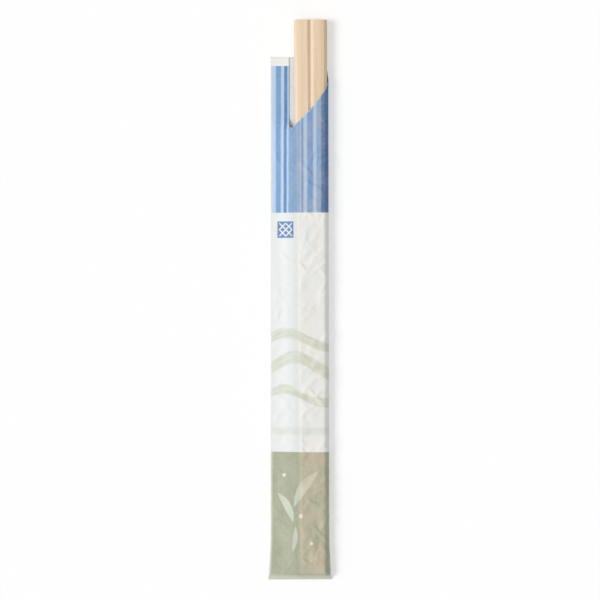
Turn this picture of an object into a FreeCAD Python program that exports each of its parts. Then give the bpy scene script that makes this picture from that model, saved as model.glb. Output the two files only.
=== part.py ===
import FreeCAD, Part
import math
import os

# A snap-apart pair of wooden chopsticks lying face up in its folded paper sleeve. Millimetres.
# X runs across, Y along with the joined heads at +Y, Z up from the table.
# X is first counted from the sleeve's left crease, and centred at the end.

# Chopstick pair: (at the heads, at the tips) where it tapers.
pair_length = 203.0
pair_width = (12.2, 10.4)
pair_thickness = (4.6, 4.1)
edge_chamfer = 1.1
groove_half_width = 0.95
groove_depth = 0.95
joined_length = 34.0
kerf_width = (0.35, 0.8)

# Sleeve: one sheet folded into a flat tube, glued down its back and shut at the bottom.
paper = 0.1
head_shows = 13.5
tip_clearance = 2.5
left_gap = (8.3, 10.2)
ridge = (0.3, 0.6)
crease_rise = (2.5, 2.2)
web_dip = (0.6, 0.34)
slack = 0.06
crease_inside = 0.7
shut_length = 0.5
seam_left = 8.6
seam_width = 6.0
tail_length = 9.0
tail_inset = 1.8

# Mouth: distances are measured down from the sleeve's top edge.
strip_width = 6.6
foot_radius = 1.45
notch_depth = 26.1
mouth_middle = (14.3, 19.4)
mouth_at_side = 9.0
mouth_under = 3.6
mouth_back_run = 2.7

overall_length = pair_length + tip_clearance
head_y = overall_length / 2
tips_y = head_y - pair_length
sleeve_top_y = head_y - head_shows
fold_y = -overall_length / 2
floor_z = 2 * paper

# How far cutting shapes run past what they cut.
over = 1.0
above = 10.0
beyond = 5.0


def between(ends, y):
    """Value at y of something that runs straight from the heads to the tips."""
    share = (head_y - y) / pair_length
    return ends[0] + (ends[1] - ends[0]) * share


def flat_face(corners):
    """Flat face inside a closed run of corners."""
    return Part.Face(Part.makePolygon(corners + corners[:1]))


def placed(points, y):
    """Corners of an (x, z) outline in the plane at y."""
    return [FreeCAD.Vector(x, y, z) for x, z in points]


def loft(sections):
    """Solid with straight rulings through (y, points) sections."""
    outlines = [placed(points, y) for y, points in sections]
    return Part.makeLoft([Part.makePolygon(o + o[:1]) for o in outlines], True, True)


def flat_sided(near, far):
    """Solid between two outlines whose matching edges are parallel, so each side is flat."""
    faces = [flat_face(near), flat_face(far)]
    for i in range(len(near)):
        faces.append(flat_face([near[i - 1], near[i], far[i], far[i - 1]]))
    return Part.Solid(Part.Shell(faces))


def pair_section(y):
    """Two chamfered sticks side by side, with a V groove between them on both faces."""
    left = between(left_gap, y)
    right = left + between(pair_width, y)
    middle = (left + right) / 2
    low = floor_z
    high = floor_z + between(pair_thickness, y)
    return [
        (left + edge_chamfer, high),
        (middle - groove_half_width, high),
        (middle, high - groove_depth),
        (middle + groove_half_width, high),
        (right - edge_chamfer, high),
        (right, high - edge_chamfer),
        (right, low + edge_chamfer),
        (right - edge_chamfer, low),
        (middle + groove_half_width, low),
        (middle, low + groove_depth),
        (middle - groove_half_width, low),
        (left + edge_chamfer, low),
        (left, low + edge_chamfer),
        (left, high - edge_chamfer),
    ]


def kerf():
    """Saw cut that parts the sticks from the tips up to the joined heads."""
    root_y = head_y - joined_length
    end_y = tips_y - over
    corners = []
    for y, width, side in (
        (root_y, kerf_width[0], -1),
        (root_y, kerf_width[0], 1),
        (end_y, kerf_width[1], 1),
        (end_y, kerf_width[1], -1),
    ):
        middle = between(left_gap, y) + between(pair_width, y) / 2
        corners.append(FreeCAD.Vector(middle + side * width / 2, y, -over))
    return flat_face(corners).extrude(FreeCAD.Vector(0, 0, above))


def make_pair():
    blank = flat_sided(placed(pair_section(head_y), head_y), placed(pair_section(tips_y), tips_y))
    return blank.cut(kerf())


def inside_section(y):
    """Inner outline of the sleeve, clockwise from its left crease.

    The web from that crease up to the wood dips, by shares of its width and its height.
    """
    left = between(left_gap, y)
    right = left + between(pair_width, y)
    high = floor_z + between(pair_thickness, y) + slack
    shoulder = left + edge_chamfer
    dip_x = crease_inside + web_dip[0] * (shoulder - crease_inside)
    return [
        (crease_inside, floor_z),
        (dip_x, floor_z + web_dip[1] * (high - floor_z)),
        (shoulder, high),
        (right - edge_chamfer + slack, high),
        (right + slack, high - edge_chamfer),
        (right + slack + between(ridge, y), floor_z + between(crease_rise, y)),
        (right + slack, floor_z + 0.8 * edge_chamfer),
        (right - edge_chamfer, floor_z),
    ]


def grow(points, distance):
    """Outline moved outward by distance, with mitred corners. Points run clockwise."""
    grown = []
    for i, (x, z) in enumerate(points):
        before = points[i - 1]
        after = points[(i + 1) % len(points)]
        normals = []
        for start, end in ((before, (x, z)), ((x, z), after)):
            run = math.hypot(end[0] - start[0], end[1] - start[1])
            normals.append(((start[1] - end[1]) / run, (end[0] - start[0]) / run))
        (ax, az), (bx, bz) = normals
        reach = distance / (1 + ax * bx + az * bz)
        grown.append((x + (ax + bx) * reach, z + (az + bz) * reach))
    return grown


def flattened(points, low, high):
    """Outline pressed flat between two heights, keeping its X places."""
    top = max(z for _, z in points)
    bottom = min(z for _, z in points)
    return [(x, low + (high - low) * (z - bottom) / (top - bottom)) for x, z in points]


def tube():
    """Folded tube of paper from the mouth to the bottom fold, where it is pressed shut."""
    past_tips = tips_y - slack
    inner_end = inside_section(past_tips)
    outer_end = grow(inner_end, paper)
    outer = loft([
        (sleeve_top_y, grow(inside_section(sleeve_top_y), paper)),
        (past_tips - paper, outer_end),
        (fold_y, flattened(outer_end, floor_z - paper, floor_z + 2 * paper)),
    ])
    inner = loft([
        (sleeve_top_y + over, inside_section(sleeve_top_y + over)),
        (past_tips, inner_end),
        (fold_y + shut_length, flattened(inner_end, floor_z, floor_z + paper)),
    ])
    return outer.cut(inner)


def side_x(depth):
    """Inner face of the sleeve's right wall, at a depth below the top edge."""
    y = sleeve_top_y - depth
    return between(left_gap, y) + between(pair_width, y) + slack


def mouth_outline(z):
    """Window in the front: a tall strip stays at its left, and its lower edge rises to the right."""

    def at(x, depth):
        return FreeCAD.Vector(x, sleeve_top_y - depth, z)

    edge = side_x(mouth_at_side)
    far = edge + beyond
    foot = at(strip_width, notch_depth - foot_radius)
    notch = at(strip_width + foot_radius, notch_depth)
    inward = foot_radius * (1 - math.sqrt(0.5))
    turn = at(strip_width + inward, notch_depth - inward)
    edges = [
        Part.makeLine(at(strip_width, -over), foot),
        Part.Arc(foot, turn, notch).toShape(),
        Part.Arc(notch, at(*mouth_middle), at(edge, mouth_at_side)).toShape(),
        Part.makeLine(at(edge, mouth_at_side), at(far, mouth_at_side)),
        Part.makeLine(at(far, mouth_at_side), at(far, -over)),
        Part.makeLine(at(far, -over), at(strip_width, -over)),
    ]
    return Part.Face(Part.Wire(edges))


def mouth_front():
    """The window cuts the panel on the wood, above the right crease."""
    return mouth_outline(floor_z + crease_rise[0]).extrude(FreeCAD.Vector(0, 0, above))


def mouth_web():
    """Left of the wood, where the web dips, the window cuts all that is above the back."""
    whole = mouth_outline(floor_z + slack).extrude(FreeCAD.Vector(0, 0, above))
    shoulder = between(left_gap, sleeve_top_y) + edge_chamfer
    start = FreeCAD.Vector(0, sleeve_top_y - notch_depth - over, 0)
    return whole.common(Part.makeBox(shoulder, notch_depth + 2 * over, above, start))


def mouth_side():
    """The same edge, rising down the right wall."""
    x = side_x(0) - edge_chamfer - 2 * slack
    crease_z = floor_z + crease_rise[0]
    corners = [
        FreeCAD.Vector(x, sleeve_top_y + over, crease_z),
        FreeCAD.Vector(x, sleeve_top_y - mouth_at_side, crease_z),
        FreeCAD.Vector(x, sleeve_top_y - mouth_under, floor_z),
        FreeCAD.Vector(x, sleeve_top_y - mouth_under, -over),
        FreeCAD.Vector(x, sleeve_top_y + over, -over),
    ]
    return flat_face(corners).extrude(FreeCAD.Vector(beyond, 0, 0))


def mouth_back():
    """Where that edge crosses the back and runs out at the top."""
    right = side_x(0) - edge_chamfer
    corners = [
        FreeCAD.Vector(right - mouth_back_run, sleeve_top_y, -over),
        FreeCAD.Vector(right, sleeve_top_y - mouth_under, -over),
        FreeCAD.Vector(right + over, sleeve_top_y - mouth_under, -over),
        FreeCAD.Vector(right + over, sleeve_top_y + over, -over),
        FreeCAD.Vector(right - mouth_back_run, sleeve_top_y + over, -over),
    ]
    return flat_face(corners).extrude(FreeCAD.Vector(0, 0, over + floor_z + slack / 2))


def seam():
    """Glued overlap of the two back flaps."""
    start = FreeCAD.Vector(seam_left, fold_y + tail_length, 0)
    return Part.makeBox(seam_width, sleeve_top_y - fold_y - tail_length, paper, start)


def tail():
    """End of the front panel, folded under the bottom and glued to the back."""
    inner_end = inside_section(tips_y)
    right = max(x for x, _ in inner_end)
    corners = [
        FreeCAD.Vector(0, fold_y, 0),
        FreeCAD.Vector(right, fold_y, 0),
        FreeCAD.Vector(right - tail_inset, fold_y + tail_length, 0),
        FreeCAD.Vector(tail_inset, fold_y + tail_length, 0),
    ]
    return flat_face(corners).extrude(FreeCAD.Vector(0, 0, paper))


def make_sleeve():
    walls = tube().cut([mouth_front(), mouth_web(), mouth_side(), mouth_back()])
    return walls.fuse([seam(), tail()]).removeSplitter()


def main():
    os.makedirs("parts", exist_ok=True)
    parts = {"chopstick_pair": make_pair(), "paper_sleeve": make_sleeve()}
    box = parts["paper_sleeve"].BoundBox
    for name, shape in parts.items():
        shape.translate(FreeCAD.Vector(-(box.XMin + box.XMax) / 2, 0, 0))
        shape.exportStep(f"parts/{name}.step")
        bounds = shape.BoundBox
        print(
            name, "valid", shape.isValid(), "solids", len(shape.Solids), "faces", len(shape.Faces),
            "volume", round(shape.Volume, 1),
            "x", round(bounds.XMin, 2), round(bounds.XMax, 2),
            "y", round(bounds.YMin, 2), round(bounds.YMax, 2),
            "z", round(bounds.ZMin, 2), round(bounds.ZMax, 2),
        )
    for y in (sleeve_top_y, tips_y):
        points = grow(inside_section(y), paper / 2)
        pairs = zip(points, points[1:] + points[:1])
        girth = sum(math.hypot(b[0] - a[0], b[1] - a[1]) for a, b in pairs)
        print("sleeve girth at y", round(y, 1), "is", round(girth, 2))


main()
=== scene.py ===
import bisect
import math
import random
import bpy
import bmesh
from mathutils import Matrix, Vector, noise
from mathutils.geometry import delaunay_2d_cdt


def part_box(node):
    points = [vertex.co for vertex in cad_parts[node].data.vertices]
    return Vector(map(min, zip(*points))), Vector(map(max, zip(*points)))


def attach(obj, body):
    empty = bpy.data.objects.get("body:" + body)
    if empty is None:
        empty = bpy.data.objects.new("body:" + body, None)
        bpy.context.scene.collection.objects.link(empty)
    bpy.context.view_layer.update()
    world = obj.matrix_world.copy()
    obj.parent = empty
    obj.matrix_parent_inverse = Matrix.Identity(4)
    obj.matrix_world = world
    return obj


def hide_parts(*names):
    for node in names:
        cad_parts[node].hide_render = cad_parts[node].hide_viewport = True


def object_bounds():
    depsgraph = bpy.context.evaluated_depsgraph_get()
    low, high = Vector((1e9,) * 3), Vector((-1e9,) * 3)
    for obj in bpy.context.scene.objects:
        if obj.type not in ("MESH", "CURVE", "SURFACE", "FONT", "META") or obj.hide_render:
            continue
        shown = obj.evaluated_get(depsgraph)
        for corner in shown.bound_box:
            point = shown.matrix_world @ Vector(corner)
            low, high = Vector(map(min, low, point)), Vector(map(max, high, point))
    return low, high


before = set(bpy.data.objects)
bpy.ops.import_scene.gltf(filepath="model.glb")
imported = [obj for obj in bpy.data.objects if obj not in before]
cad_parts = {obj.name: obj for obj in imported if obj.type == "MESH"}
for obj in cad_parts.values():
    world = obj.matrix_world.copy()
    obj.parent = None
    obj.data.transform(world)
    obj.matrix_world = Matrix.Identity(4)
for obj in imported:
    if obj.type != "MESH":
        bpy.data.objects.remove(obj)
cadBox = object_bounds()

# Shapes are worked out in millimetres and scaled to metres when a mesh is made.
mm = 0.001
pairLow, pairHigh = (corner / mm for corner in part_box("chopstick_pair"))
sleeveLow, sleeveHigh = (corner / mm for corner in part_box("paper_sleeve"))


def mix(a, b, share):
    return a + (b - a) * share


def ease(share):
    # held between 0 and 1, and slow at both ends
    share = min(1.0, max(0.0, share))
    return share * share * (3.0 - 2.0 * share)


def toLinear(rgb):
    # colours are written as 0 to 255 screen values
    out = []
    for value in rgb:
        c = value / 255.0
        out.append(c / 12.92 if c <= 0.04045 else ((c + 0.055) / 1.055) ** 2.4)
    return (*out, 1.0)


def inksOf(values):
    return {name: toLinear(rgb) for name, rgb in values["colours"].items()}


def roundedLoop(corners, steps):
    # closed run of (x, z, radius) corners as a fine polyline, with each corner's middle index
    points, middles = [], []
    count = len(corners)
    for i, (x, z, radius) in enumerate(corners):
        here = Vector((x, z))
        toBefore = Vector(corners[i - 1][:2]) - here
        toAfter = Vector(corners[(i + 1) % count][:2]) - here
        toBefore.normalize()
        toAfter.normalize()
        half = toBefore.angle(toAfter) / 2
        run = radius / math.tan(half)
        start = here + toBefore * run
        end = here + toAfter * run
        centre = here + (toBefore + toAfter).normalized() * (radius / math.sin(half))
        middles.append(len(points) + steps // 2)
        for step in range(steps):
            direction = (start - centre).slerp(end - centre, step / (steps - 1))
            points.append(centre + direction.normalized() * radius)
    return points, middles


def tubeFaces(rings, size):
    # faces between matching rings of points, and one across each end
    faces = []
    for n in range(rings - 1):
        for i in range(size):
            j = (i + 1) % size
            faces.append((n * size + i, n * size + j, (n + 1) * size + j, (n + 1) * size + i))
    faces.append(tuple(reversed(range(size))))
    faces.append(tuple(range((rings - 1) * size, rings * size)))
    return faces


def meshObject(name, verts, faces, materials):
    mesh = bpy.data.meshes.new(name)
    mesh.from_pydata([(x * mm, y * mm, z * mm) for x, y, z in verts], [], faces)
    for material in materials:
        mesh.materials.append(material)
    thing = bpy.data.objects.new(name, mesh)
    bpy.context.scene.collection.objects.link(thing)
    return thing


def node(tree, kind, **settings):
    made = tree.nodes.new(kind)
    inputs = settings.pop("inputs", {})
    for key, value in settings.items():
        setattr(made, key, value)
    for key, value in inputs.items():
        if isinstance(value, bpy.types.NodeSocket):
            tree.links.new(value, made.inputs[key])
        else:
            made.inputs[key].default_value = value
    return made


def maths(tree, operation, first, second=0.0, third=0.0):
    made = node(tree, "ShaderNodeMath", operation=operation, inputs={0: first, 1: second, 2: third})
    return made.outputs[0]


def plus(tree, first, second):
    return maths(tree, "ADD", first, second)


def minus(tree, first, second):
    return maths(tree, "SUBTRACT", first, second)


def times(tree, first, second):
    return maths(tree, "MULTIPLY", first, second)


def absolute(tree, value):
    return maths(tree, "ABSOLUTE", value)


def blendColour(tree, share, first, second, how="MIX"):
    made = node(tree, "ShaderNodeMix", data_type="RGBA", blend_type=how,
                inputs={0: share, 6: first, 7: second})
    return made.outputs[2]


def fade(tree, value, low, high, outLow=0.0, outHigh=1.0):
    made = node(tree, "ShaderNodeMapRange", interpolation_type="SMOOTHSTEP",
                inputs={0: value, 1: low, 2: high, 3: outLow, 4: outHigh})
    return made.outputs[0]


def stretched(tree, place, scales):
    made = node(tree, "ShaderNodeVectorMath", operation="MULTIPLY", inputs={0: place, 1: scales})
    return made.outputs[0]


def noiseAt(tree, place, scale, detail=2.0, roughness=0.5):
    # scale is one number, or three where the noise is drawn out along an axis
    if isinstance(scale, tuple):
        place = stretched(tree, place, scale)
        scale = 1.0
    made = node(tree, "ShaderNodeTexNoise",
                inputs={"Vector": place, "Scale": scale, "Detail": detail, "Roughness": roughness})
    return made.outputs[0]


def newGroup(name, inputs, outputs):
    group = bpy.data.node_groups.new(name, "ShaderNodeTree")
    for label, kind, value in inputs:
        socket = group.interface.new_socket(label, in_out="INPUT", socket_type=kind)
        if value is not None:
            socket.default_value = value
    for label, kind in outputs:
        group.interface.new_socket(label, in_out="OUTPUT", socket_type=kind)
    return group, group.nodes.new("NodeGroupInput").outputs, group.nodes.new("NodeGroupOutput").inputs


def useGroup(tree, group, **values):
    made = node(tree, "ShaderNodeGroup", node_tree=group)
    for label, value in values.items():
        socket = made.inputs[label]
        if isinstance(value, bpy.types.NodeSocket):
            tree.links.new(value, socket)
        else:
            socket.default_value = value
    return made.outputs


floatKind, vectorKind = "NodeSocketFloat", "NodeSocketVector"


def makeStripeGroup():
    # 1 inside a straight printed stripe, fading over its soft edge
    group, given, out = newGroup(
        "stripe",
        [("Across", floatKind, 0.0), ("From", floatKind, 0.0), ("To", floatKind, 1.0),
         ("Soft", floatKind, 0.1)],
        [("Mask", floatKind)])
    middle = times(group, plus(group, given["From"], given["To"]), 0.5)
    half = times(group, minus(group, given["To"], given["From"]), 0.5)
    away = absolute(group, minus(group, given["Across"], middle))
    inside = maths(group, "DIVIDE", minus(group, half, away), given["Soft"])
    mask = plus(group, inside, 0.5)
    mask.node.use_clamp = True
    group.links.new(mask, out["Mask"])
    return group


def makeBladeGroup():
    # a slender leaf: pointed at both ends, and bent into a shallow arc
    group, given, out = newGroup(
        "blade",
        [("Across", floatKind, 0.0), ("Down", floatKind, 0.0), ("Middle Across", floatKind, 0.0),
         ("Middle Down", floatKind, 0.0), ("Turn", floatKind, 0.0), ("Half Length", floatKind, 10.0),
         ("Half Width", floatKind, 1.0), ("Bend", floatKind, 0.0)],
        [("Mask", floatKind)])
    x = minus(group, given["Across"], given["Middle Across"])
    y = minus(group, given["Down"], given["Middle Down"])
    cos = maths(group, "COSINE", given["Turn"])
    sin = maths(group, "SINE", given["Turn"])
    along = plus(group, times(group, x, cos), times(group, y, sin))
    side = minus(group, times(group, y, cos), times(group, x, sin))
    share = maths(group, "DIVIDE", along, given["Half Length"])
    squared = times(group, share, share)
    away = absolute(group, minus(group, side, times(group, squared, given["Bend"])))
    room = times(group, minus(group, 1.0, squared), given["Half Width"])
    group.links.new(fade(group, minus(group, room, away), -0.05, 0.12), out["Mask"])
    return group


def makeFibreGroup():
    # cloudy pulp with fine fibres and small crinkles: a value around 0.5, and a height for bump.
    # Noise scales here and in the grain are per metre
    group, given, out = newGroup(
        "paperFibre", [("Place", vectorKind, None)], [("Cloud", floatKind), ("Height", floatKind)])
    place = given["Place"]
    cloud = noiseAt(group, place, 900.0, 4.0, 0.65)
    fibresDown = noiseAt(group, place, (5200.0, 900.0, 2600.0), 3.0, 0.6)
    fibresAcross = noiseAt(group, place, (1100.0, 4600.0, 2600.0), 3.0, 0.6)
    fibres = times(group, plus(group, fibresDown, fibresAcross), 0.5)
    group.links.new(plus(group, times(group, cloud, 0.6), times(group, fibres, 0.4)), out["Cloud"])
    crinkle = absolute(group, minus(group, noiseAt(group, place, 420.0), 0.5))
    group.links.new(minus(group, times(group, fibres, 0.25), times(group, crinkle, 3.0)), out["Height"])
    return group


def makeGrainGroup():
    # straight birch grain along Y: tone for soft bands, streaks for fine lines, pores for short
    # dark dashes, flecks for a few larger dark spots
    group, given, out = newGroup(
        "birchGrain", [("Place", vectorKind, None)],
        [("Tone", floatKind), ("Streaks", floatKind), ("Pores", floatKind), ("Flecks", floatKind)])
    place = given["Place"]
    sway = noiseAt(group, place, (40.0, 14.0, 40.0), 1.0)
    aside = node(group, "ShaderNodeCombineXYZ", inputs={0: sway, 2: sway}).outputs[0]
    swayed = node(group, "ShaderNodeVectorMath", operation="MULTIPLY_ADD",
                  inputs={0: aside, 1: (0.0011, 0.0, 0.0011), 2: place}).outputs[0]
    group.links.new(noiseAt(group, swayed, (520.0, 5.0, 380.0), 3.0, 0.55), out["Tone"])
    group.links.new(noiseAt(group, swayed, (3400.0, 26.0, 2600.0), 4.0, 0.6), out["Streaks"])
    dashes = noiseAt(group, swayed, (7000.0, 420.0, 7000.0), 1.0)
    group.links.new(fade(group, dashes, 0.66, 0.76), out["Pores"])
    spots = node(group, "ShaderNodeTexVoronoi", feature="F1", inputs={
        "Vector": stretched(group, place, (205.0, 58.0, 205.0)), "Scale": 1.0, "Randomness": 1.0}).outputs
    drawn = node(group, "ShaderNodeSeparateColor", inputs={0: spots["Color"]}).outputs[0]
    chosen = fade(group, drawn, 0.84, 0.88)
    spot = fade(group, spots["Distance"], 0.05, 0.17, 1.0, 0.0)
    group.links.new(times(group, spot, chosen), out["Flecks"])
    return group


stripeGroup = makeStripeGroup()
bladeGroup = makeBladeGroup()
fibreGroup = makeFibreGroup()
grainGroup = makeGrainGroup()
print("node groups made")


def newMaterial(name):
    material = bpy.data.materials.new(name)
    material.use_nodes = True
    tree = material.node_tree
    return material, tree, tree.nodes["Principled BSDF"]


def bumped(tree, shader, height, strength, distance):
    bump = node(tree, "ShaderNodeBump",
                inputs={"Strength": strength, "Distance": distance, "Height": height})
    tree.links.new(bump.outputs[0], shader.inputs["Normal"])


pair = {
    "headWidth": 12.2, "tipWidth": 10.4, "headThick": 4.6, "tipThick": 4.1,
    "chamfer": 1.1, "chamferWander": 0.09,  # the wander is a share of the chamfer
    "groove": 0.95, "grooveWander": 0.10,
    "joined": 34.0,  # from the heads down to the end of the saw cut
    "kerfRoot": 0.35, "kerfTips": 0.8, "kerfWander": 0.04, "kerfFuzz": 0.03,
    "edgeSoft": 0.14, "endSoft": 0.12, "rough": 0.022,
    "poreShow": 0.26, "fleckShow": 0.6,  # strengths
    "step": 1.4,  # from one section of the blank to the next
    "colours": {
        "face": (235, 213, 186), "deep": (222, 193, 160), "pale": (243, 227, 204),
        "pore": (188, 152, 114), "fleck": (158, 112, 74),
        "end": (214, 186, 150), "endDark": (192, 158, 120),
    },
}
headY, tipsY = pairHigh.y, pairLow.y
topY, foldY = sleeveHigh.y, sleeveLow.y
pairBottom = pairLow.z


def tapered(head, tips, y):
    return mix(head, tips, (headY - y) / (headY - tipsY))


def pairLeft(y):
    return tapered(pairLow.x, pairHigh.x - pair["tipWidth"], y)


def pairRight(y):
    return tapered(pairLow.x + pair["headWidth"], pairHigh.x, y)


def pairTop(y):
    return pairBottom + tapered(pair["headThick"], pair["tipThick"], y)


def woodMaterial():
    material, tree, shader = newMaterial("birch")
    ink = inksOf(pair)
    place = node(tree, "ShaderNodeTexCoord").outputs["Object"]
    grain = useGroup(tree, grainGroup, Place=place)
    colour = blendColour(tree, fade(tree, grain["Tone"], 0.36, 0.66), ink["face"], ink["deep"])
    colour = blendColour(tree, fade(tree, grain["Streaks"], 0.5, 0.72, 0.0, 0.7), colour, ink["pale"])
    colour = blendColour(tree, fade(tree, grain["Streaks"], 0.46, 0.32, 0.0, 0.6), colour, ink["deep"])
    colour = blendColour(tree, times(tree, grain["Pores"], pair["poreShow"]), colour, ink["pore"])
    colour = blendColour(tree, times(tree, grain["Flecks"], pair["fleckShow"]), colour, ink["fleck"])
    tree.links.new(colour, shader.inputs["Base Color"])
    tree.links.new(fade(tree, grain["Streaks"], 0.3, 0.7, 0.78, 0.62), shader.inputs["Roughness"])
    shader.inputs["Specular IOR Level"].default_value = 0.3
    height = minus(tree, grain["Streaks"], times(tree, grain["Pores"], 0.5))
    bumped(tree, shader, height, 0.55, 0.00006)
    return material


def endGrainMaterial():
    # year rings and open pores on the sawn ends
    material, tree, shader = newMaterial("birchEndGrain")
    ink = inksOf(pair)
    place = node(tree, "ShaderNodeTexCoord").outputs["Object"]
    fromPith = node(tree, "ShaderNodeVectorMath", operation="ADD",
                    inputs={0: place, 1: (0.012, 0.0, 0.020)}).outputs[0]
    rings = node(tree, "ShaderNodeTexWave", wave_type="RINGS", rings_direction="Y", inputs={
        "Vector": fromPith, "Scale": 210.0, "Distortion": 1.5, "Detail": 2.0,
        "Detail Scale": 300.0}).outputs["Color"]
    rings = node(tree, "ShaderNodeSeparateColor", inputs={0: rings}).outputs[0]
    dots = noiseAt(tree, place, (9000.0, 600.0, 9000.0))
    colour = blendColour(tree, times(tree, rings, 0.3), ink["end"], ink["endDark"])
    colour = blendColour(tree, fade(tree, dots, 0.56, 0.72, 0.0, 0.6), colour, ink["pore"])
    tree.links.new(colour, shader.inputs["Base Color"])
    tree.links.new(fade(tree, dots, 0.3, 0.7, 0.75, 0.92), shader.inputs["Roughness"])
    shader.inputs["Specular IOR Level"].default_value = 0.2
    bumped(tree, shader, dots, 0.7, 0.0001)
    return material


def pairSection(y):
    left, right, low, high = pairLeft(y), pairRight(y), pairBottom, pairTop(y)
    middle = (left + right) / 2 + pair["grooveWander"] * noise.noise(Vector((y * 0.02, 3.1, 9.0)))
    g = pair["groove"]
    c = []  # the four chamfers, clockwise from the top left, wander a little along the stick
    for k in range(1, 5):
        wander = pair["chamferWander"] * noise.noise(Vector((y * 0.035, 7.3 * k, 0.0)))
        c.append(pair["chamfer"] * (1 + wander))
    corners = [
        (left + c[0], high), (middle - g, high), (middle, high - g), (middle + g, high),
        (right - c[1], high), (right, high - c[1]), (right, low + c[2]), (right - c[2], low),
        (middle + g, low), (middle, low + g), (middle - g, low), (left + c[3], low),
        (left, low + c[3]), (left, high - c[0])]
    return roundedLoop([(x, z, pair["edgeSoft"]) for x, z in corners], 4)[0]


def blankObject(material, endMaterial):
    # the pair before it is sawn apart, with a rough skin and softened ends
    rough, inset = pair["rough"], pair["endSoft"]
    count = round((headY - tipsY) / pair["step"])
    near = 0.5  # how close the even sections come to the ends
    stations = [tipsY, tipsY + inset * 0.6]
    stations += [mix(tipsY + near, headY - near, i / count) for i in range(count + 1)]
    stations += [headY - inset * 0.6, headY]
    verts = []
    for n, y in enumerate(stations):
        ring = pairSection(y)
        centre = Vector(((pairLeft(y) + pairRight(y)) / 2, (pairBottom + pairTop(y)) / 2))
        atEnd = n in (0, len(stations) - 1)
        for x, z in ring:
            inward = Vector((centre.x - x, centre.y - z)).normalized()
            wander = rough * (0.6 * noise.noise(Vector((x * 1.1, y * 0.11, z * 1.1)))
                              + 0.5 * noise.noise(Vector((x * 3.7, y * 0.5, z * 3.7))))
            push = max(0.0, wander + rough * 0.4) + (inset if atEnd else 0.0)
            verts.append((x + inward.x * push, y, z + inward.y * push))
    thing = meshObject("chopstickPair", verts, tubeFaces(len(stations), len(ring)), [material, endMaterial])
    for polygon in list(thing.data.polygons)[-2:]:
        polygon.material_index = 1
    return thing


def kerfObject():
    # saw cut from the tips to the joined heads, a little ragged
    rootY, endY = headY - pair["joined"], tipsY - 2.0
    count = 60
    levels = [pairBottom + up for up in (-2.0, 1.5, 3.0, 8.0)]  # from below the wood to above it
    verts = []
    for i in range(count + 1):
        y = mix(endY, rootY, i / count)
        wander = pair["kerfWander"] * noise.noise(Vector((y * 0.05, 1.0, 2.0)))
        middle = (pairLeft(y) + pairRight(y)) / 2 + wander
        half = mix(pair["kerfTips"], pair["kerfRoot"], i / count) / 2
        for side in (-1, 1):
            for z in levels if side < 0 else reversed(levels):
                fuzz = pair["kerfFuzz"] * noise.noise(Vector((side * 5.0, y * 0.7, z * 2.0)))
                verts.append((middle + side * (half + fuzz), y, z))
    return meshObject("kerf", verts, tubeFaces(count + 1, 2 * len(levels)), [])


def applied(thing):
    # the mesh as its modifiers leave it, kept on the object
    bpy.context.view_layer.update()
    done = bpy.data.meshes.new_from_object(thing.evaluated_get(bpy.context.evaluated_depsgraph_get()))
    thing.modifiers.clear()
    thing.data = done


def outward(thing):
    shape = bmesh.new()
    shape.from_mesh(thing.data)
    bmesh.ops.recalc_face_normals(shape, faces=shape.faces)
    shape.to_mesh(thing.data)
    shape.free()


def makePair():
    thing = blankObject(woodMaterial(), endGrainMaterial())
    cutter = kerfObject()
    outward(thing)
    outward(cutter)
    cut = thing.modifiers.new("kerf", "BOOLEAN")
    cut.operation = "DIFFERENCE"
    cut.solver = "EXACT"
    cut.object = cutter
    applied(thing)
    bpy.data.objects.remove(cutter)
    for polygon in thing.data.polygons:
        polygon.use_smooth = polygon.material_index == 0
    thing.data.set_sharp_from_angle(angle=math.radians(50))
    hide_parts("chopstick_pair")
    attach(thing, "root")
    print("chopstick pair:", len(thing.data.polygons), "faces")


# The sleeve starts as a flat sheet: u runs across it from the left crease, and v down it from the
# top edge. The front panel lies between u 0 and "flat", with a back flap on each side and the tail
# below. Folding takes each point of the sheet to its place round the pair.
sleeve = {
    "thick": 0.085, "slack": 0.05, "backBelow": 0.1,  # slack over the wood, outside of the back below it
    "flat": 23.4, "leftFlap": 15.0, "rightFlap": 12.9, "overlap": 4.52,
    "tail": 9.0, "tailInset": 1.8, "foldInset": 0.25,  # the tail is narrower by its insets
    "backShort": 0.3, "seamShort": 2.0,  # how far the back stops from the fold, and its seam from the tail
    "strip": 6.95, "footRadius": 1.7, "notchDepth": 26.1, "mouthMiddle": (15.7, 19.4),
    "mouthCrease": 8.3, "mouthOut": 29.0,
    "lift": 0.16, "liftRun": 1.6,  # of the cut edge off the wood
    "crease": 0.09,  # radius of the left crease
    "ridge": (0.35, 0.65), "rise": (2.9, 2.6),  # of the right crease, out and up, at heads and tips
    "flare": 0.65, "flareRun": 16.0,  # the tube spreads towards its closed bottom
    "webDips": ((0.42, 0.17, 9.0), (0.74, 0.50, 7.0)),  # share across, share of the height, radius
    "stripHeight": 0.012,  # share of the web's height that the dropped strip keeps
    "stripBend": 5.5, "stripPast": 1.0,  # it rises over this run, which ends this far below the notch
    "stripCurl": 0.02, "seamDrop": 0.095, "closing": 2.55, "foldRadius": 0.17,
    "crumple": 0.22, "creases": 190, "creaseHeight": (0.3, 0.62), "creaseSeed": 11,
    "slant": (48.0, 13.0), "backSlant": (-35.0, 15.0), "slantShare": 0.8,  # of the creases, in degrees
    "pleatHeight": 0.34, "pleatReach": 1.3,
    "pleats": (  # u and height above the fold at one end, and at the other
        (9.6, 7.5, 4.4, 0.9), (8.9, 3.6, 6.9, 0.7), (20.6, 5.2, 21.8, 0.8)),
    "acrossStep": 0.5, "downStep": 0.55, "outlineStep": 0.7, "gridMargin": 0.3, "foldMargin": 0.06,
}
length = topY - foldY
backZ = pairBottom - sleeve["backBelow"]
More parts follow.
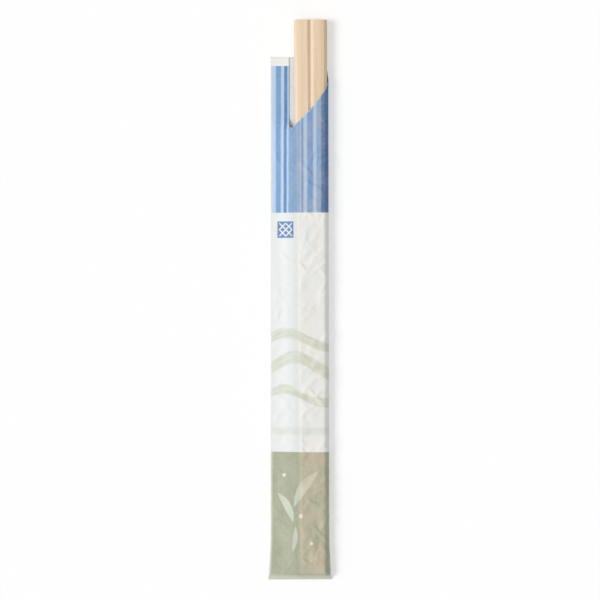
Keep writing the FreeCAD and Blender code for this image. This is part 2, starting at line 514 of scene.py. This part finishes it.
foldStart = length - sleeve["foldRadius"] * math.pi / 2
tailStart = length + sleeve["foldRadius"] * math.pi / 2
tailEnd = length + sleeve["tail"]
backEnd = length - sleeve["backShort"]
seamEnd = length - sleeve["tail"] - sleeve["seamShort"]
sheetRight = sleeve["flat"] + sleeve["rightFlap"]
seamLeft = sheetRight - sleeve["overlap"]


def arcThrough(a, b, c, count):
    # points of the circle arc from a to c by way of b
    ax, ay, bx, by, cx, cy = *a, *b, *c
    d = 2 * (ax * (by - cy) + bx * (cy - ay) + cx * (ay - by))
    sa, sb, sc = ax * ax + ay * ay, bx * bx + by * by, cx * cx + cy * cy
    ox = (sa * (by - cy) + sb * (cy - ay) + sc * (ay - by)) / d
    oy = (sa * (cx - bx) + sb * (ax - cx) + sc * (bx - ax)) / d
    start, end = math.atan2(ay - oy, ax - ox), math.atan2(cy - oy, cx - ox)
    turn = (end - start + math.pi) % (2 * math.pi) - math.pi
    radius = math.hypot(ax - ox, ay - oy)
    angles = [start + turn * i / count for i in range(count + 1)]
    return [(ox + radius * math.cos(angle), oy + radius * math.sin(angle)) for angle in angles]


def mouthLine():
    # the die-cut edge from the strip's foot round the notch and up to the top of the right back flap
    radius = sleeve["footRadius"]
    inward = radius * (1 - math.sqrt(0.5))
    foot = (sleeve["strip"], sleeve["notchDepth"] - radius)
    turn = (sleeve["strip"] + inward, sleeve["notchDepth"] - inward)
    notch = (sleeve["strip"] + radius, sleeve["notchDepth"])
    crease = (sleeve["flat"], sleeve["mouthCrease"])
    line = arcThrough(foot, turn, notch, 8)
    line += arcThrough(notch, sleeve["mouthMiddle"], crease, 34)[1:]
    pieces = 14
    for i in range(1, pieces + 1):
        line.append((mix(crease[0], sleeve["mouthOut"], i / pieces), mix(crease[1], 0.0, i / pieces)))
    return line


mouth = mouthLine()


def sampled(points, step):
    # the same run of points, with extra ones so that none are further apart than step
    out = [points[0]]
    for a, b in zip(points, points[1:]):
        pieces = max(1, math.ceil(math.dist(a, b) / step))
        out += [(mix(a[0], b[0], i / pieces), mix(a[1], b[1], i / pieces)) for i in range(1, pieces + 1)]
    return out


def sheetOutline():
    flat, inset, near = sleeve["flat"], sleeve["tailInset"], sleeve["foldInset"]
    left = -sleeve["leftFlap"]
    corners = [(left, 0.0), (0.0, 0.0), (sleeve["strip"], 0.0)] + mouth
    corners += [(sheetRight, 0.0), (sheetRight, seamEnd), (seamLeft, seamEnd), (seamLeft, backEnd)]
    corners += [(flat, backEnd), (flat - near, tailStart), (flat - inset, tailEnd)]
    corners += [(inset, tailEnd), (near, tailStart), (0.0, backEnd), (left, backEnd), (left, 0.0)]
    return sampled(corners, sleeve["outlineStep"])[:-1]


def topEdge(u):
    if u <= sleeve["strip"] or u >= sleeve["mouthOut"]:
        return 0.0
    places = [p[0] for p in mouth]
    i = min(max(1, bisect.bisect(places, u)), len(mouth) - 1)
    (a, va), (b, vb) = mouth[i - 1], mouth[i]
    return mix(va, vb, (u - a) / (b - a))


def bottomEdge(u):
    if u <= 0.0 or u >= sleeve["flat"]:
        return backEnd if u < seamLeft else seamEnd
    inset, near = min(u, sleeve["flat"] - u), sleeve["foldInset"]
    if inset < near:
        return mix(backEnd, tailStart, inset / near)
    return min(tailEnd, mix(tailStart, tailEnd, (inset - near) / sleeve["tailInset"]))


def columns():
    # places across the sheet, close together at the two creases
    near = [-0.45, -0.26, -0.13, 0.0, 0.13, 0.26, 0.45]
    flat = sleeve["flat"]
    places = set(near) | {flat + n for n in near}
    for start, end in ((-sleeve["leftFlap"], near[0]), (near[-1], flat + near[0]),
                       (flat + near[-1], sheetRight)):
        pieces = round((end - start) / sleeve["acrossStep"])
        places |= {mix(start, end, i / pieces) for i in range(pieces + 1)}
    return sorted(places)


def rows():
    # distances down the sheet, close together at the bottom fold
    bendStart, fineStep = length - 3.2, 0.3
    pieces = round(bendStart / sleeve["downStep"])
    places = [bendStart * i / pieces for i in range(pieces + 1)]
    places += [bendStart + fineStep * i for i in range(1, 10)]
    places += [length + sleeve["foldRadius"] * math.radians(a) for a in range(-90, 91, 30)]
    pieces = round(sleeve["tail"] / sleeve["downStep"])
    return places + [mix(tailStart, tailEnd, i / pieces) for i in range(1, pieces + 1)]


def gridPoints():
    # grid points well inside the outline
    margin = sleeve["gridMargin"]
    down = rows()
    inside = []
    for u in columns():
        if u < margin - sleeve["leftFlap"] or u > sheetRight - margin:
            continue
        low, high = topEdge(u), bottomEdge(u)
        for v in down:
            below = sleeve["foldMargin"] if v > length - 1 else margin
            byStrip = abs(u - sleeve["strip"]) < margin and v < mouth[0][1] + margin
            bySeam = abs(u - seamLeft) < margin and v > seamEnd - margin
            if low + margin < v < high - below and not byStrip and not bySeam:
                inside.append((u, v))
    return inside


def sectionAt(v, share):
    # outside of the folded tube at v, as lengths along it from the left crease with x and z at each.
    # share is how high the web's right end stands, from 1 on the wood down to 0 on the back sheet
    y = topY - v
    left, right, high = pairLeft(y), pairRight(y), pairTop(y)
    c, skin = pair["chamfer"], sleeve["thick"] + sleeve["slack"]
    flare = sleeve["flare"] * ease((v - (length - sleeve["flareRun"])) / sleeve["flareRun"])
    radius = sleeve["crease"]
    start, over = sleeveLow.x - flare, backZ + 2.05 * radius
    shoulder = (left + 0.85 * c, mix(over, high + skin, share))
    dips = [(mix(start, shoulder[0], across), mix(over, shoulder[1], up), bend)
            for across, up, bend in sleeve["webDips"]]
    ridge = tapered(*sleeve["ridge"], y) + flare
    corners = [
        (start, backZ, radius), (start, over, radius), *dips, (*shoulder, 0.9 if share > 0.5 else 0.3),
        (right - 0.8 * c, high + skin, 0.55), (right + skin, high - 0.8 * c, 0.5),
        (right + skin + ridge, pairBottom + tapered(*sleeve["rise"], y), 0.14),
        (right + skin, pairBottom + 0.7, 0.4), (right - 0.65 * c, backZ, 0.5)]
    points, middles = roundedLoop(corners, 7)
    first, shoulderAt, creaseAt = middles[0] + 3, middles[4], middles[7]
    loop = points[first:] + points[:first + 1]
    lengths = [0.0]
    for a, b in zip(loop, loop[1:]):
        lengths.append(lengths[-1] + (b - a).length)
    return lengths, loop, shoulderAt - first, creaseAt - first


sections = {}


def section(v, share=1.0):
    # sectionAt with its lengths scaled to the sheet, by what fits the tube where it lies on the wood
    key = (round(v, 3), round(share, 4))
    if key not in sections:
        lengths, loop, shoulderAt, creaseAt = sectionAt(v, share)
        onWood, _, _, edge = sectionAt(v, 1.0)
        front = sleeve["flat"] / onWood[edge]
        rear = sleeve["flat"] / (onWood[-1] - onWood[edge])
        turn = lengths[creaseAt]
        lengths = [s * front if i <= creaseAt else turn * front + (s - turn) * rear
                   for i, s in enumerate(lengths)]
        sections[key] = (lengths, loop, lengths[shoulderAt])
    return sections[key]


def sectionPoint(v, s, share):
    # point and outward direction on the folded tube, s along from the left crease
    lengths, loop, _ = section(v, share)
    s = min(max(s, 0.0), lengths[-1])
    i = min(max(1, bisect.bisect_left(lengths, s)), len(lengths) - 1)
    a, b = loop[i - 1], loop[i]
    point = a.lerp(b, (s - lengths[i - 1]) / max(1e-9, lengths[i] - lengths[i - 1]))
    before, after = loop[max(0, i - 2)], loop[min(len(loop) - 1, i + 1)]
    run = (after - before).normalized()
    return point, Vector((-run.y, run.x))


def scatteredCreases():
    # short slanting creases, closer together and higher lower down:
    # (across, down), direction, half length, height, widths of the two flanks
    chance = random.Random(sleeve["creaseSeed"])
    made = []
    for number in range(sleeve["creases"]):
        middle = (chance.uniform(2.0, 22.5), mix(28.0, length - 5.0, chance.random() ** 0.7))
        slant = sleeve["slant"] if chance.random() < sleeve["slantShare"] else sleeve["backSlant"]
        angle = math.radians(chance.gauss(*slant))
        size = chance.uniform(0.5, 1.0)
        half = mix(1.5, 6.5, size * chance.random()) + 1.0
        tall = size * mix(*sleeve["creaseHeight"], middle[1] / length)
        flanks = (mix(0.5, 1.0, chance.random()), mix(1.1, 2.5, chance.random()))
        made.append((middle, (math.cos(angle), -math.sin(angle)), half, tall, flanks))
    return made


creases = scatteredCreases()


def creased(u, v):
    # height of the tallest crease at a point of the sheet
    height = 0.0
    for (middleU, middleV), (alongU, alongV), half, tall, flanks in creases:
        du, dv = u - middleU, v - middleV
        if abs(dv) > 9.0 or abs(du) > 9.0:  # further away than any crease reaches
            continue
        share = (du * alongU + dv * alongV) / half
        side = du * alongV - dv * alongU
        side += 0.5 * noise.noise(Vector((u * 0.4, v * 0.4, tall * 40.0)))
        slope = 1.0 - abs(side) / flanks[side < 0.0]
        if slope > 0.0 and abs(share) < 1.0:
            height = max(height, tall * slope * (1.0 - share * share))
    return height


def crumple(u, v):
    # how far creases and soft swells move the front: the web hangs free between crease and wood,
    # and on the wood the paper can only stand up
    webEnd = section(min(v, tailStart - 0.5))[2]
    broad = sleeve["crumple"] * noise.noise(Vector((u * 0.13, v * 0.045, 1.7)))
    stand = creased(u, v)
    free = ease((u - 0.5) / 2.0) * ease((webEnd + 0.3 - u) / 2.0)
    onWood = ease((u - webEnd + 0.8) / 1.6) * ease((sleeve["flat"] - 0.2 - u) / 1.4)
    return free * (broad + 0.55 * stand) + onWood * (max(0.0, 0.5 * broad) + stand)


def pleats(u, v):
    # short sharp creases where the front runs down from the tips to the bottom fold
    height = 0.0
    for fromU, fromUp, toU, toUp in sleeve["pleats"]:
        a, b = Vector((fromU, length - fromUp)), Vector((toU, length - toUp))
        run = b - a
        share = min(1.0, max(0.0, (Vector((u, v)) - a).dot(run) / run.length_squared))
        away = (Vector((u, v)) - a - run * share).length
        slope = sleeve["pleatHeight"] * max(0.0, 1.0 - away / sleeve["pleatReach"])
        height = max(height, slope * (0.35 + 0.65 * math.sin(math.pi * share)))
    return height


def mouthLift(u, v):
    # the cut edge springs up a little from the wood
    if u <= sleeve["strip"] or u > sleeve["flat"] + 1.0:
        return 0.0
    return sleeve["lift"] * math.exp(-(v - topEdge(u)) / sleeve["liftRun"]) * ease((u - 8.0) / 3.0)


def stripDrop(u, v):
    # 1 where the strip beside the mouth has dropped onto the back sheet
    notchU = sleeve["strip"] + sleeve["footRadius"]
    if not 0.0 <= u <= notchU + 1.0:
        return 0.0
    clear = ease((sleeve["notchDepth"] + sleeve["stripPast"] - v) / sleeve["stripBend"])
    return clear * ease((notchU + 0.8 - u) / 1.4)


def standOff(u, v, down):
    # how far the front stands off the plain folded tube
    away = crumple(u, v) * ease((length - 1.5 - v) / 7.0)
    away = mix(away, max(0.0, 0.4 * away), down)
    away += mouthLift(u, v) + pleats(u, v) * ease((length - 0.6 - v) / 1.5)
    return away


def pressedShut(u, x, z, share):
    # front and back come together towards the bottom fold, and spread out flat
    flat = sleeve["flat"]
    left = sleeveLow.x - (flat - (sleeveHigh.x - sleeveLow.x)) / 2
    if 0.0 <= u <= flat:
        return mix(x, left + u, share), mix(z, 2 * sleeve["foldRadius"], share)
    return mix(x, left + (-u if u < 0.0 else 2 * flat - u), share), mix(z, backZ, share)


def onSleeve(u, v):
    # where a point of the flat sheet goes when the sheet is folded round the pair
    flat, radius = sleeve["flat"], sleeve["foldRadius"]
    shut = min(v, foldStart)
    down = stripDrop(u, v)
    along = u if u >= 0.0 else 2 * flat + u
    point, out = sectionPoint(shut, along, mix(1.0, sleeve["stripHeight"], down))
    x, y, z = point.x, topY - shut, point.y
    curl = ease(u / sleeve["strip"]) * down * ease((14.0 - v) / 14.0)
    z += sleeve["stripCurl"] * curl * curl
    if 0.0 < u < flat:
        away = standOff(u, v, down)
        x += out.x * away
        z += out.y * away
    if u < 0.0:  # the left flap's edge lies below the right flap along the seam, level with it at the tail
        under = ease((-u - (sleeve["leftFlap"] - sleeve["overlap"] - 0.9)) / 0.9)
        z -= sleeve["seamDrop"] * under * ease((seamEnd + 1.0 - v) / 4.0)
    closing = (v - (length - sleeve["closing"])) / (sleeve["closing"] - radius * math.pi / 2)
    if closing > 0.0:
        x, z = pressedShut(u, x, z, ease(closing))
    if v > foldStart:  # round the fold, then along the underside
        turn = min((v - length) / radius, math.pi / 2)
        y = foldY + radius - radius * math.cos(turn) + max(0.0, v - tailStart)
        z = radius - radius * math.sin(turn)
    return x, y, z


def behind(x, y, z):
    # what lies under the paper: how closely it touches the wood, and how deep a hollow is left
    # beside the wood, which sets the painted shade on the paper over it
    shoulder = pairLeft(y) + pair["chamfer"]
    inset = max(shoulder - x, 2.0 * (x - pairRight(y) + pair["chamfer"]), 0.0)
    above = max(0.0, z - pairTop(y) - 0.12)
    wood = ease(1.0 - inset / 1.8) * mix(1.0, 0.55, ease(above / 0.8)) * ease((y - tipsY + 0.4) / 0.8)
    hollowShade = ease((z - 0.5) / 3.6) * ease((shoulder + 0.4 - x) / 1.2)
    return wood, hollowShade


def fromMouth(u, v):
    # millimetres from the die-cut edge on the front, about
    return 0.7 * (v - topEdge(u)) if sleeve["strip"] < u < sleeve["mouthOut"] else 9.0


# The print is laid out in millimetres across the flat sheet from the left crease and down it.
printed = {
    "topMargin": 3.2, "blueEnd": 57.2, "greenStart": 145.0, "zoneSoft": 0.12,
    "stripes": [  # from, to, colour
        (12.2, 23.4, "haze"), (2.0, 3.87, "blue"), (5.0, 6.2, "deep"), (7.0, 12.1, "mid"),
        # the navy stripe, over the right wall, is the deep blue print darkened further as painted shade
        (12.5, 13.25, "violet"), (14.7, 16.85, "dusk"), (18.1, 20.1, "mid"), (19.8, 23.4, "navyAndWallShade")],
    "stripeSoft": 0.4, "stripeWobble": 0.25,
    "markMiddle": (5.85, 63.4), "markSize": 6.05, "markStretch": 1.08,
    "latticePitch": 1.18, "latticeLine": 0.2,
    "waves": [  # middle down, half width, swing up and down, where the crest stands
        (104.0, 1.8, 2.6, 6.5), (113.5, 2.3, 3.4, 9.5), (124.5, 1.6, 2.4, 5.0)],
    "waveLength": 33.0, "waveRagged": 1.6, "waveSoft": 0.6,
    "band": (136.0, 138.6), "bandSoft": 0.9,
    "blades": [  # middle across, middle down, turn in degrees, half length, half width, bend
        (6.6, 165.0, 60.0, 6.4, 1.5, 1.0), (13.0, 158.0, 126.0, 8.2, 1.9, -1.2),
        (9.8, 177.0, 98.0, 4.8, 1.1, 0.6)],
    "dots": [(12.2, 168.5, 0.8), (5.2, 153.5, 0.6), (16.2, 178.5, 0.55)],  # across, down, radius
    "showBlue": 0.2, "showWhite": 0.4, "showLeaf": 0.3, "showSage": 0.53,  # how much wood shows through
    "showDoubled": 0.25,  # what is left of that under two layers of paper
    # the first is the strength of the painted shade over the hollow beside the wood
    "hollowShadeStrength": 0.28, "foldPale": 0.5, "edgePale": 0.55,  # strengths
    "colours": {
        "pale": (183, 206, 231), "blue": (113, 158, 203), "deep": (80, 129, 184),
        "mid": (127, 162, 200), "haze": (173, 198, 224), "violet": (103, 137, 188),
        # the navy is deep blue print darkened further as painted shade on the right wall
        "dusk": (106, 148, 198), "navyAndWallShade": (44, 96, 150),
        "margin": (238, 237, 233), "white": (229, 232, 231), "mark": (98, 135, 186),
        "leaf": (208, 212, 194), "band": (220, 222, 216),
        "sage": (175, 177, 152), "sageDeep": (162, 167, 142), "leafPale": (203, 207, 188),
        "inside": (222, 227, 235), "insideDim": (214, 219, 226),
        # the hollow colour is a grey multiplied in as painted shade over the hollow beside the wood
        "fold": (222, 225, 214), "hollowShade": (152, 157, 155),
        "wood": (214, 190, 164), "woodPale": (246, 233, 216),
    },
}


def paintStripes(tree, ink, sheet, across, density):
    # stripes with slightly unsteady edges run down the sheet, and repeat round the back
    unsteady = minus(tree, noiseAt(tree, sheet, (0.0, 0.12, 0.0)), 0.5)
    wobble = times(tree, unsteady, printed["stripeWobble"])
    wrapped = plus(tree, maths(tree, "WRAP", across, sleeve["flat"], 0.0), wobble)
    colour = ink["pale"]
    for start, end, name in printed["stripes"]:
        mask = useGroup(tree, stripeGroup, Across=wrapped, From=start, To=end,
                        Soft=printed["stripeSoft"])["Mask"]
        colour = blendColour(tree, mask, colour, ink[name])
    return blendColour(tree, fade(tree, density, 0.35, 0.75, 0.0, 0.15), colour, ink["pale"])


def waveMask(tree, across, down, wave):
    # brushed wave across the sheet, with bristle marks along it
    middle, halfWidth, swing, crest = wave
    phase = times(tree, minus(tree, across, crest), 2 * math.pi / printed["waveLength"])
    line = minus(tree, middle, times(tree, maths(tree, "COSINE", phase), swing))
    aside = minus(tree, down, line)
    brushed = node(tree, "ShaderNodeCombineXYZ", inputs={
        0: times(tree, across, 0.16), 1: times(tree, aside, 1.7), 2: middle}).outputs[0]
    bristles = noiseAt(tree, brushed, 1.0, 3.0)
    ragged = maths(tree, "MULTIPLY_ADD", minus(tree, bristles, 0.5), printed["waveRagged"], aside)
    mask = useGroup(tree, stripeGroup, Across=ragged, From=-halfWidth, To=halfWidth,
                    Soft=printed["waveSoft"])["Mask"]
    return times(tree, mask, fade(tree, bristles, 0.30, 0.58, 0.45, 1.0))


def latticeMask(tree, across, down):
    # solid square with a slanting lattice left white inside it
    x, y = printed["markMiddle"]
    half, width = printed["markSize"] / 2, printed["latticeLine"]
    dx = maths(tree, "DIVIDE", minus(tree, across, x), printed["markStretch"])
    dy = minus(tree, down, y)
    far = maths(tree, "MAXIMUM", absolute(tree, dx), absolute(tree, dy))
    square = fade(tree, far, half - 0.15, half + 0.15, 1.0, 0.0)
    inner = fade(tree, far, half - 0.5, half - 0.7)
    toLine = []
    for slant in (plus(tree, dx, dy), minus(tree, dx, dy)):
        toLine.append(maths(tree, "PINGPONG", slant, printed["latticePitch"]))
    lines = fade(tree, maths(tree, "MINIMUM", *toLine), width, width + 0.25, 1.0, 0.0)
    return times(tree, square, minus(tree, 1.0, times(tree, lines, inner)))


def paintWhite(tree, ink, across, down, contact, washed):
    # white middle with brushed waves, a pale band and the lattice square
    colour = blendColour(tree, times(tree, contact, printed["showWhite"]), ink["white"], ink["woodPale"])
    leaf = blendColour(tree, times(tree, contact, printed["showLeaf"]), ink["leaf"], ink["wood"])
    for wave in printed["waves"]:
        mask = waveMask(tree, across, down, wave)
        colour = blendColour(tree, times(tree, mask, washed), colour, leaf)
    start, end = printed["band"]
    band = useGroup(tree, stripeGroup, Across=down, From=start, To=end, Soft=printed["bandSoft"])["Mask"]
    colour = blendColour(tree, times(tree, band, washed), colour, ink["band"])
    return blendColour(tree, latticeMask(tree, across, down), colour, ink["mark"])


def dotMask(tree, across, down, x, y, radius):
    place = node(tree, "ShaderNodeCombineXYZ", inputs={0: across, 1: down}).outputs[0]
    away = node(tree, "ShaderNodeVectorMath", operation="DISTANCE",
                inputs={0: place, 1: (x, y, 0.0)}).outputs["Value"]
    return fade(tree, away, radius - 0.08, radius + 0.1, 1.0, 0.0)


def paintSage(tree, ink, across, down, density, washed):
    # sage lower part with leaves and dots
    colour = blendColour(tree, fade(tree, density, 0.3, 0.7), ink["sage"], ink["sageDeep"])
    for x, y, turn, halfLength, halfWidth, bend in printed["blades"]:
        mask = useGroup(tree, bladeGroup, **{
            "Across": across, "Down": down, "Middle Across": x, "Middle Down": y,
            "Turn": math.radians(turn), "Half Length": halfLength, "Half Width": halfWidth,
            "Bend": bend})["Mask"]
        colour = blendColour(tree, times(tree, mask, washed), colour, ink["leafPale"])
    for x, y, radius in printed["dots"]:
        colour = blendColour(tree, dotMask(tree, across, down, x, y, radius), colour, ink["white"])
    return colour


def wornAndHighlitFolds(tree, ink, colour, place, across, down):
    # ink rubs off along the folds, and the cut edges are pale; the soft pale bands along the side
    # creases and the bottom fold are partly rubbed ink and partly a painted highlight
    # painted highlight with rubbed ink: the print is lightened towards the fold colour near the folds
    side = fade(tree, absolute(tree, across), 1.0, 0.5, 0.0, printed["foldPale"])
    bottom = fade(tree, down, length - 2.4, length - 0.9, 0.0, printed["foldPale"])
    colour = blendColour(tree, maths(tree, "MAXIMUM", side, bottom), colour, ink["fold"])
    edge = node(tree, "ShaderNodeAttribute", attribute_name="fromMouth").outputs["Fac"]
    for crease in (0.0, sleeve["flat"]):
        edge = maths(tree, "MINIMUM", edge, absolute(tree, minus(tree, across, crease)))
    toFold = absolute(tree, minus(tree, down, length))
    edge = maths(tree, "MINIMUM", edge, plus(tree, toFold, 0.15))
    edge = plus(tree, edge, fade(tree, noiseAt(tree, place, 800.0), 0.3, 0.7, -0.06, 0.14))
    return blendColour(tree, fade(tree, edge, 0.42, 0.08, 0.0, printed["edgePale"]), colour, ink["white"])


def printedPaper():
    material, tree, shader = newMaterial("printedPaper")
    ink = inksOf(printed)
    sheet = node(tree, "ShaderNodeUVMap", uv_map="sheet").outputs[0]
    across, down = node(tree, "ShaderNodeSeparateXYZ", inputs={0: sheet}).outputs[:2]
    place = node(tree, "ShaderNodeTexCoord").outputs["Object"]
    fibre = useGroup(tree, fibreGroup, Place=place)
    # wood shows through the thin paper where they touch
    touch = node(tree, "ShaderNodeAttribute", attribute_name="woodBehind").outputs["Fac"]
    patches = noiseAt(tree, sheet, (0.30, 0.10, 0.0), 3.0)
    contact = times(tree, touch, fade(tree, patches, 0.32, 0.66, 0.2, 1.0))
    density = noiseAt(tree, sheet, (0.16, 0.07, 0.0), 3.0)
    washed = fade(tree, density, 0.25, 0.6, 0.6, 1.0)
    stripes = paintStripes(tree, ink, sheet, across, density)
    stripes = blendColour(tree, times(tree, contact, printed["showBlue"]), stripes, ink["wood"])
    white = paintWhite(tree, ink, across, down, contact, washed)
    sage = paintSage(tree, ink, across, down, density, washed)
    sage = blendColour(tree, times(tree, contact, printed["showSage"]), sage, ink["wood"])
    # the zones, from the top down
    colour, soft = ink["margin"], printed["zoneSoft"]
    for start, zone in (("topMargin", stripes), ("blueEnd", white), ("greenStart", sage)):
        reached = fade(tree, down, printed[start] - soft, printed[start] + soft)
        colour = blendColour(tree, reached, colour, zone)
    # painted shade: the paper is darkened where it stands over the hollow beside the wood
    hollowShade = node(tree, "ShaderNodeAttribute", attribute_name="hollowShade").outputs["Fac"]
    shadeShare = times(tree, hollowShade, printed["hollowShadeStrength"])
    colour = blendColour(tree, shadeShare, colour, ink["hollowShade"], "MULTIPLY")
    colour = wornAndHighlitFolds(tree, ink, colour, place, across, down)
    colour = blendColour(tree, fade(tree, fibre["Cloud"], 0.42, 0.68, 0.0, 0.12), colour, ink["white"])
    tree.links.new(colour, shader.inputs["Base Color"])
    tree.links.new(fade(tree, fibre["Cloud"], 0.3, 0.7, 0.5, 0.66), shader.inputs["Roughness"])
    shader.inputs["Specular IOR Level"].default_value = 0.35
    bumped(tree, shader, fibre["Height"], 0.6, 0.00008)
    return material


def plainPaper():
    # the unprinted inside
    material, tree, shader = newMaterial("plainPaper")
    ink = inksOf(printed)
    place = node(tree, "ShaderNodeTexCoord").outputs["Object"]
    fibre = useGroup(tree, fibreGroup, Place=place)
    colour = blendColour(tree, fade(tree, fibre["Cloud"], 0.35, 0.7), ink["insideDim"], ink["inside"])
    tree.links.new(colour, shader.inputs["Base Color"])
    tree.links.new(fade(tree, fibre["Cloud"], 0.3, 0.7, 0.78, 0.9), shader.inputs["Roughness"])
    shader.inputs["Specular IOR Level"].default_value = 0.2
    bumped(tree, shader, fibre["Height"], 0.45, 0.00003)
    return material


def isCounterclockwise(face, points):
    a, b, c = (points[i] for i in face[:3])
    return (b - a).cross(c - a) > 0.0


def flatSheet():
    # the cut-out sheet as (u, v) spots and triangles. It is meshed with minus v, so that the
    # printed side comes out facing outward
    outline = sheetOutline()
    points = [Vector((u, -v)) for u, v in outline + gridPoints()]
    found = delaunay_2d_cdt(points, [], [list(range(len(outline)))], 1, 1e-5)
    spots = [(point.x, -point.y) for point in found[0]]
    faces = [face if isCounterclockwise(face, found[0]) else face[::-1] for face in found[2]]
    return spots, faces


def writeAttributes(mesh, spots, places):
    # what the printed paper's material needs to know at each point of the sheet
    layer = mesh.uv_layers.new(name="sheet")
    for loop in mesh.loops:
        layer.data[loop.index].uv = spots[loop.vertex_index]
    names = ("woodBehind", "hollowShade", "fromMouth")
    touch, shadeLayer, edge = (mesh.attributes.new(name, "FLOAT", "POINT") for name in names)
    for i, (u, v) in enumerate(spots):
        if v < length:
            # how much wood shows through, and the painted shade where the paper stands over the hollow
            wood, shadeLayer.data[i].value = behind(*places[i])
            # 1 where the back flaps overlap
            doubled = ease((sleeve["overlap"] - sleeve["leftFlap"] + 0.4 - u) / 0.8)
            touch.data[i].value = wood * mix(1.0, printed["showDoubled"], doubled)
        edge.data[i].value = fromMouth(u, v)


def makeSleeve():
    spots, faces = flatSheet()
    places = [onSleeve(u, v) for u, v in spots]
    thing = meshObject("paperSleeve", places, faces, [printedPaper(), plainPaper()])
    writeAttributes(thing.data, spots, places)
    thing.data.polygons.foreach_set("use_smooth", [True] * len(faces))
    shell = thing.modifiers.new("paper thickness", "SOLIDIFY")
    shell.thickness = sleeve["thick"] * mm
    shell.offset = -1.0
    shell.material_offset = 1
    shell.material_offset_rim = 1
    applied(thing)
    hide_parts("paper_sleeve")
    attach(thing, "root")
    print("paper sleeve:", len(thing.data.polygons), "faces")


studio = {
    "floor": (255, 255, 255), "floorHalf": 3000.0, "floorBelow": 0.05,
    "shadowLift": 0.4,  # how far the floor's shadow is paled
    "world": 0.56,
    "sunFrom": (-0.68, -0.04, 0.73), "sunStrength": 1.85, "sunSpread": 28.0,
    "lens": 200.0, "sensor": 36.0,
    "margin": 1.0695,  # the view's height over the object's length
}


def makeFloor():
    half, z = studio["floorHalf"], -studio["floorBelow"]
    material, tree, shader = newMaterial("studioFloor")
    shader.inputs["Base Color"].default_value = toLinear(studio["floor"])
    shader.inputs["Roughness"].default_value = 1.0
    shader.inputs["Specular IOR Level"].default_value = 0.0
    # the floor's shadow is paler where it is seen, and the light it throws on the sleeve stays the same
    rays = node(tree, "ShaderNodeLightPath").outputs
    seen = maths(tree, "MAXIMUM", rays["Is Camera Ray"], rays["Is Glossy Ray"])
    seen = maths(tree, "MAXIMUM", seen, rays["Is Transmission Ray"])
    glow = node(tree, "ShaderNodeEmission", inputs={"Color": toLinear(studio["floor"]), "Strength": 1.0})
    paler = node(tree, "ShaderNodeMixShader", inputs={
        0: times(tree, seen, studio["shadowLift"]), 1: shader.outputs[0], 2: glow.outputs[0]})
    tree.links.new(paler.outputs[0], tree.nodes["Material Output"].inputs["Surface"])
    corners = [(-half, -half, z), (half, -half, z), (half, half, z), (-half, half, z)]
    meshObject("floor", corners, [(0, 1, 2, 3)], [material])


def makeLight():
    world = bpy.data.worlds.new("studioWorld")
    world.use_nodes = True
    background = world.node_tree.nodes["Background"]
    background.inputs["Color"].default_value = (1.0, 1.0, 1.0, 1.0)
    background.inputs["Strength"].default_value = studio["world"]
    bpy.context.scene.world = world
    lamp = bpy.data.lights.new("sun", "SUN")
    lamp.energy = studio["sunStrength"]
    lamp.angle = math.radians(studio["sunSpread"])
    holder = bpy.data.objects.new("sun", lamp)
    holder.rotation_euler = Vector(studio["sunFrom"]).to_track_quat("Z", "Y").to_euler()
    bpy.context.scene.collection.objects.link(holder)


def makeCamera():
    # straight above, heads at the top of the picture
    low, high = (Vector(corner) for corner in cadBox)
    camera = bpy.data.cameras.new("camera")
    camera.lens = studio["lens"]
    camera.sensor_width = studio["sensor"]
    camera.clip_end = 10.0
    distance = (high.y - low.y) * studio["margin"] * camera.lens / camera.sensor_width
    middle = (low + high) / 2
    holder = bpy.data.objects.new("camera", camera)
    holder.location = (middle.x, middle.y, high.z + distance)
    holder.rotation_euler = (0.0, 0.0, 0.0)
    bpy.context.scene.collection.objects.link(holder)
    bpy.context.scene.camera = holder


makeFloor()
makeLight()
makeCamera()
bpy.context.scene.view_settings.view_transform = "Standard"
print("stage, light and camera ready")
makePair()
makeSleeve()
